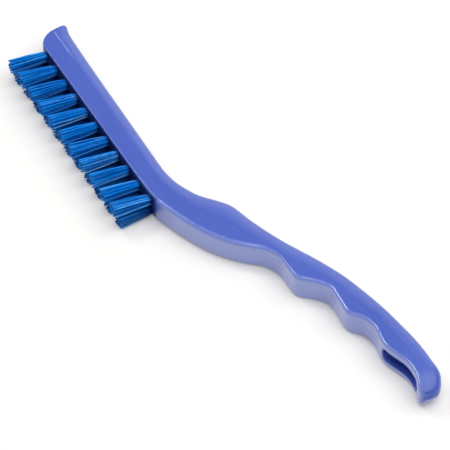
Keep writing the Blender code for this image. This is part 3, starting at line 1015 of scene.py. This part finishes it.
@dataclass
class TuftField:
    """Two rows of bristle tufts, each a bundle of filaments folded over its anchor."""

    handle: BrushHandle
    filament: float = 0.00052
    packing: float = 0.00048
    bundle_radius: float = 0.00169
    anchor_depth: float = 0.0048
    anchor_height: float = 0.0016
    fold_rise: float = 0.0002
    fold_share: float = 0.75
    half_columns: int = 4
    column_pitch: float = 0.92
    stagger: float = 0.45
    leg_heights: tuple[float, ...] = (1.0, 0.50, 0.12, 0.0)
    splay_power: float = 0.65
    raggedness: float = 0.00045
    wander: float = 0.00028
    bow_share: float = 0.4
    cut_share: float = 0.03
    sharp_angle: float = math.radians(70.0)
    sides: int = 5
    seed: int = 7

    def root_places(self) -> Array:
        """Where the filaments of one bundle pass the mouth: packed columns on each side of the anchor.

        Columns stand a little under one packing width apart along the anchor, every other one a stagger
        further out, and a place counts when it lies within the bundle's radius.

        Returns:
            Offsets (along the anchor, away from it) of one leg of each filament.
        """
        column = np.arange(-self.half_columns, self.half_columns + 1)
        level = np.arange(self.half_columns + 1)
        x = np.repeat(column * self.packing * self.column_pitch, len(level))
        stagger = np.repeat((column % 2) * self.stagger, len(level))
        z = (np.tile(level, len(column)) + 0.5 + stagger) * self.packing
        places = columns(x, z)
        return places[np.linalg.norm(places, axis=1) <= self.bundle_radius]

    def paths(self, random: np.random.Generator, stance: RowStance, floor: float) -> Array:
        """Middle lines of the filaments of one tuft.

        Each runs from one trimmed tip down to the mouth, along the hole, round under the anchor, and back
        up to its other tip. Above the mouth a leg splays at once and then straightens: at a share h of its
        height it has gone h to the splay power of the way to its tip, plus a sine of h times its own bow.
        The tip lies at the spread times its place in the bundle, plus its own wander. No leg goes below
        the table.

        Args:
            random: Source of the small differences between filaments.
            stance: How the row's bristles stand.
            floor: Height of the hole's mouth over the table.

        Returns:
            Points as (filament, point, xyz), with zero at the middle of the hole's mouth.
        """
        roots = self.root_places()
        count = len(roots)
        up = np.array(self.leg_heights)[None, :, None]
        legs = []
        for way in (1, -1):
            root = roots * np.array((1.0, way))
            tip = root * stance.spread + np.array((stance.lean, stance.rise))
            tip = tip + random.normal(0.0, self.wander, (count, 2))
            bow = random.normal(0.0, self.bow_share * self.wander, (count, 2))
            trim = stance.length - self.raggedness * random.random(count) ** 2
            plan = root[:, None] + (tip - root)[:, None] * up**self.splay_power
            plan = plan + bow[:, None] * np.sin(np.pi * up)
            plan[..., 1] = np.maximum(plan[..., 1], self.filament / 2 - floor)
            out = -trim[:, None] * up[..., 0]
            legs.append(columns(plan[..., 0], out, plan[..., 1]))
        foot = self.anchor_depth + self.anchor_height / 2 - self.fold_rise
        down = columns(roots[:, 0], foot, roots[:, 1])[:, None]
        fold = columns(roots[:, 0], foot + self.fold_share * roots[:, 1], 0.0)[:, None]
        up_again = down * np.array((1.0, 1.0, -1.0))
        return np.hstack([legs[0], down, fold, up_again, legs[1][:, ::-1]])

    def tubes(self, paths: Array) -> Array:
        """Rings of the filaments: a regular polygon across each path, turned without twist.

        The ring at a point has its first axis across the path and the anchor's direction, and its second
        across both, times half the filament's thickness.

        Args:
            paths: Middle lines as (filament, point, xyz).

        Returns:
            Points as (filament, ring, side, xyz).
        """
        tangent = np.gradient(paths, axis=1)
        tangent /= np.linalg.norm(tangent, axis=2, keepdims=True)
        first = np.cross(tangent, np.array((1.0, 0.0, 0.0)))
        first /= np.linalg.norm(first, axis=2, keepdims=True)
        second = np.cross(tangent, first)
        turn = np.linspace(0, 2 * np.pi, self.sides, endpoint=False)[:, None]
        ring = np.cos(turn) * first[:, :, None] + np.sin(turn) * second[:, :, None]
        return paths[:, :, None] + ring * self.filament / 2

    def tuft(self, name: str, place: Array, stance: RowStance, random: np.random.Generator) -> Object:
        """Makes one tuft in its hole, with each point's strand tone, nearness to a cut tip and shade.

        The shade falls from 1 in the hole to the row's tip shade by an exponential of the height.

        Args:
            name: Name of the new piece.
            place: Middle of the hole's mouth.
            stance: How the row's bristles stand.
            random: Source of the small differences between filaments.

        Returns:
            The tuft.
        """
        paths = self.paths(random, stance, float(place[2]))
        grids = self.tubes(paths) + place
        mesh = tube_mesh(name, grids)
        tone = random.random((len(paths), 1, 1))
        height = -paths[:, :, None, 1]
        near_tip = np.clip((height / stance.length - (1 - self.cut_share)) / self.cut_share, 0.0, 1.0)
        fall = np.exp(-np.clip(height, 0.0, None) / stance.shade_reach)
        shade = stance.tip_shade + (1 - stance.tip_shade) * fall
        paint(mesh, grids.shape[:3], tone=tone, tip=near_tip, shade=shade)
        mesh.shade_smooth()
        mesh.set_sharp_from_angle(angle=self.sharp_angle)
        return link(name, mesh)

    def build(self) -> None:
        """Makes every tuft and puts each in the place of its CAD solid."""
        material = DrawnFilament().material()
        random = np.random.default_rng(self.seed)
        places = self.handle.hole_places().reshape(len(Row), self.handle.tuft_count, 3) + self.handle.origin
        for row, mouths in zip(Row, places):
            for number, mouth in enumerate(mouths, 1):
                tag = f"{row.name.lower()}_{number:02d}"
                tuft = self.tuft(f"bristles_{tag}", mouth, ROW_STANCES[row], random)
                tuft.data.materials.append(material)
                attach(tuft, BODY)
                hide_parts(f"tuft_{tag}")
                LOG.info("%s: %d faces", tuft.name, len(tuft.data.polygons))


@dataclass
class AnchorSet:
    """The flat wire anchors, kept as the CAD has them and given their metal."""

    prefix: str = "anchor_"

    def dress(self) -> None:
        """Puts the drawn wire finish on every anchor."""
        material = FlatWire().material()
        anchors = [item for name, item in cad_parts.items() if name.startswith(self.prefix)]
        for anchor in anchors:
            for slot in anchor.material_slots:
                slot.material = material
            LOG.info("%s: dressed", anchor.name)


# Studio


@dataclass(frozen=True)
class Panel:
    """A square soft light that looks at the brush, with its place and size in metres and power in watts."""

    name: str
    place: Vector3
    size: float
    power: float

    def hang(self) -> None:
        """Puts the light in the scene."""
        data = bpy.data.lights.new(self.name, "AREA")
        data.size = self.size
        data.energy = self.power
        item = link(self.name, data)
        item.location = self.place
        item.rotation_euler = Vector(self.place).to_track_quat("Z", "Y").to_euler()


@dataclass
class Studio:
    """White table, soft light and the photograph's viewpoint."""

    target: Vector3 = (0.006283, 0.000952, 0.005)
    elevation: float = math.radians(43.698)
    azimuth: float = math.radians(63.139)
    distance: float = 1.5
    focal_pixels: float = 4213.0
    frame_pixels: float = 450.0
    sensor: float = 36.0
    view_depth: float = 20.0
    table_size: float = 6.0
    sky: float = 0.43
    panels: tuple[Panel, ...] = (
        Panel("key_panel", (0.22, 0.30, 1.0), 1.4, 13.4),
        Panel("back_panel", (-0.97, 0.99, 0.57), 0.8, 2.3),
        Panel("side_panel", (-0.75, -0.36, 0.93), 0.35, 3.9),
    )

    def table(self) -> None:
        """Lays the table under the brush."""
        half = self.table_size / 2
        mesh = bpy.data.meshes.new("table")
        corners = [(-half, -half, 0.0), (half, -half, 0.0), (half, half, 0.0), (-half, half, 0.0)]
        mesh.from_pydata(corners, [], [(0, 1, 2, 3)])
        mesh.materials.append(WhiteTable().material())
        link("table", mesh)

    def camera(self) -> None:
        """Stands the camera where the photograph was taken from."""
        data = bpy.data.cameras.new("photograph")
        data.sensor_width = self.sensor
        data.lens = self.focal_pixels * self.sensor / self.frame_pixels
        data.clip_end = self.view_depth
        item = link("photograph", data)
        flat = math.cos(self.elevation)
        away = (flat * math.sin(self.azimuth), -flat * math.cos(self.azimuth), math.sin(self.elevation))
        item.location = np.array(self.target) + self.distance * np.array(away)
        item.rotation_euler = (math.pi / 2 - self.elevation, 0.0, self.azimuth)
        bpy.context.scene.camera = item

    def light(self) -> None:
        """Sets the soft light: a white surround and the panels."""
        world = bpy.data.worlds.new("surround")
        world.use_nodes = True
        surround = {"Color": (1.0, 1.0, 1.0), "Strength": self.sky}
        Bench(world.node_tree).feed(world.node_tree.nodes["Background"], surround)
        bpy.context.scene.world = world
        for panel in self.panels:
            panel.hang()

    def build(self) -> None:
        """Sets up table, camera and light."""
        self.table()
        self.camera()
        self.light()
        bpy.context.scene.view_settings.view_transform = "Standard"
        LOG.info("studio: table, camera and lights are up")


def main() -> None:
    """Builds the brush's sub-assemblies in order and sets the scene round them."""
    logging.basicConfig(level=logging.INFO, format="%(name)s: %(message)s")
    handle = BrushHandle()
    handle.build()
    TuftField(handle).build()
    AnchorSet().dress()
    Studio().build()


if __name__ == "__main__":
    main()
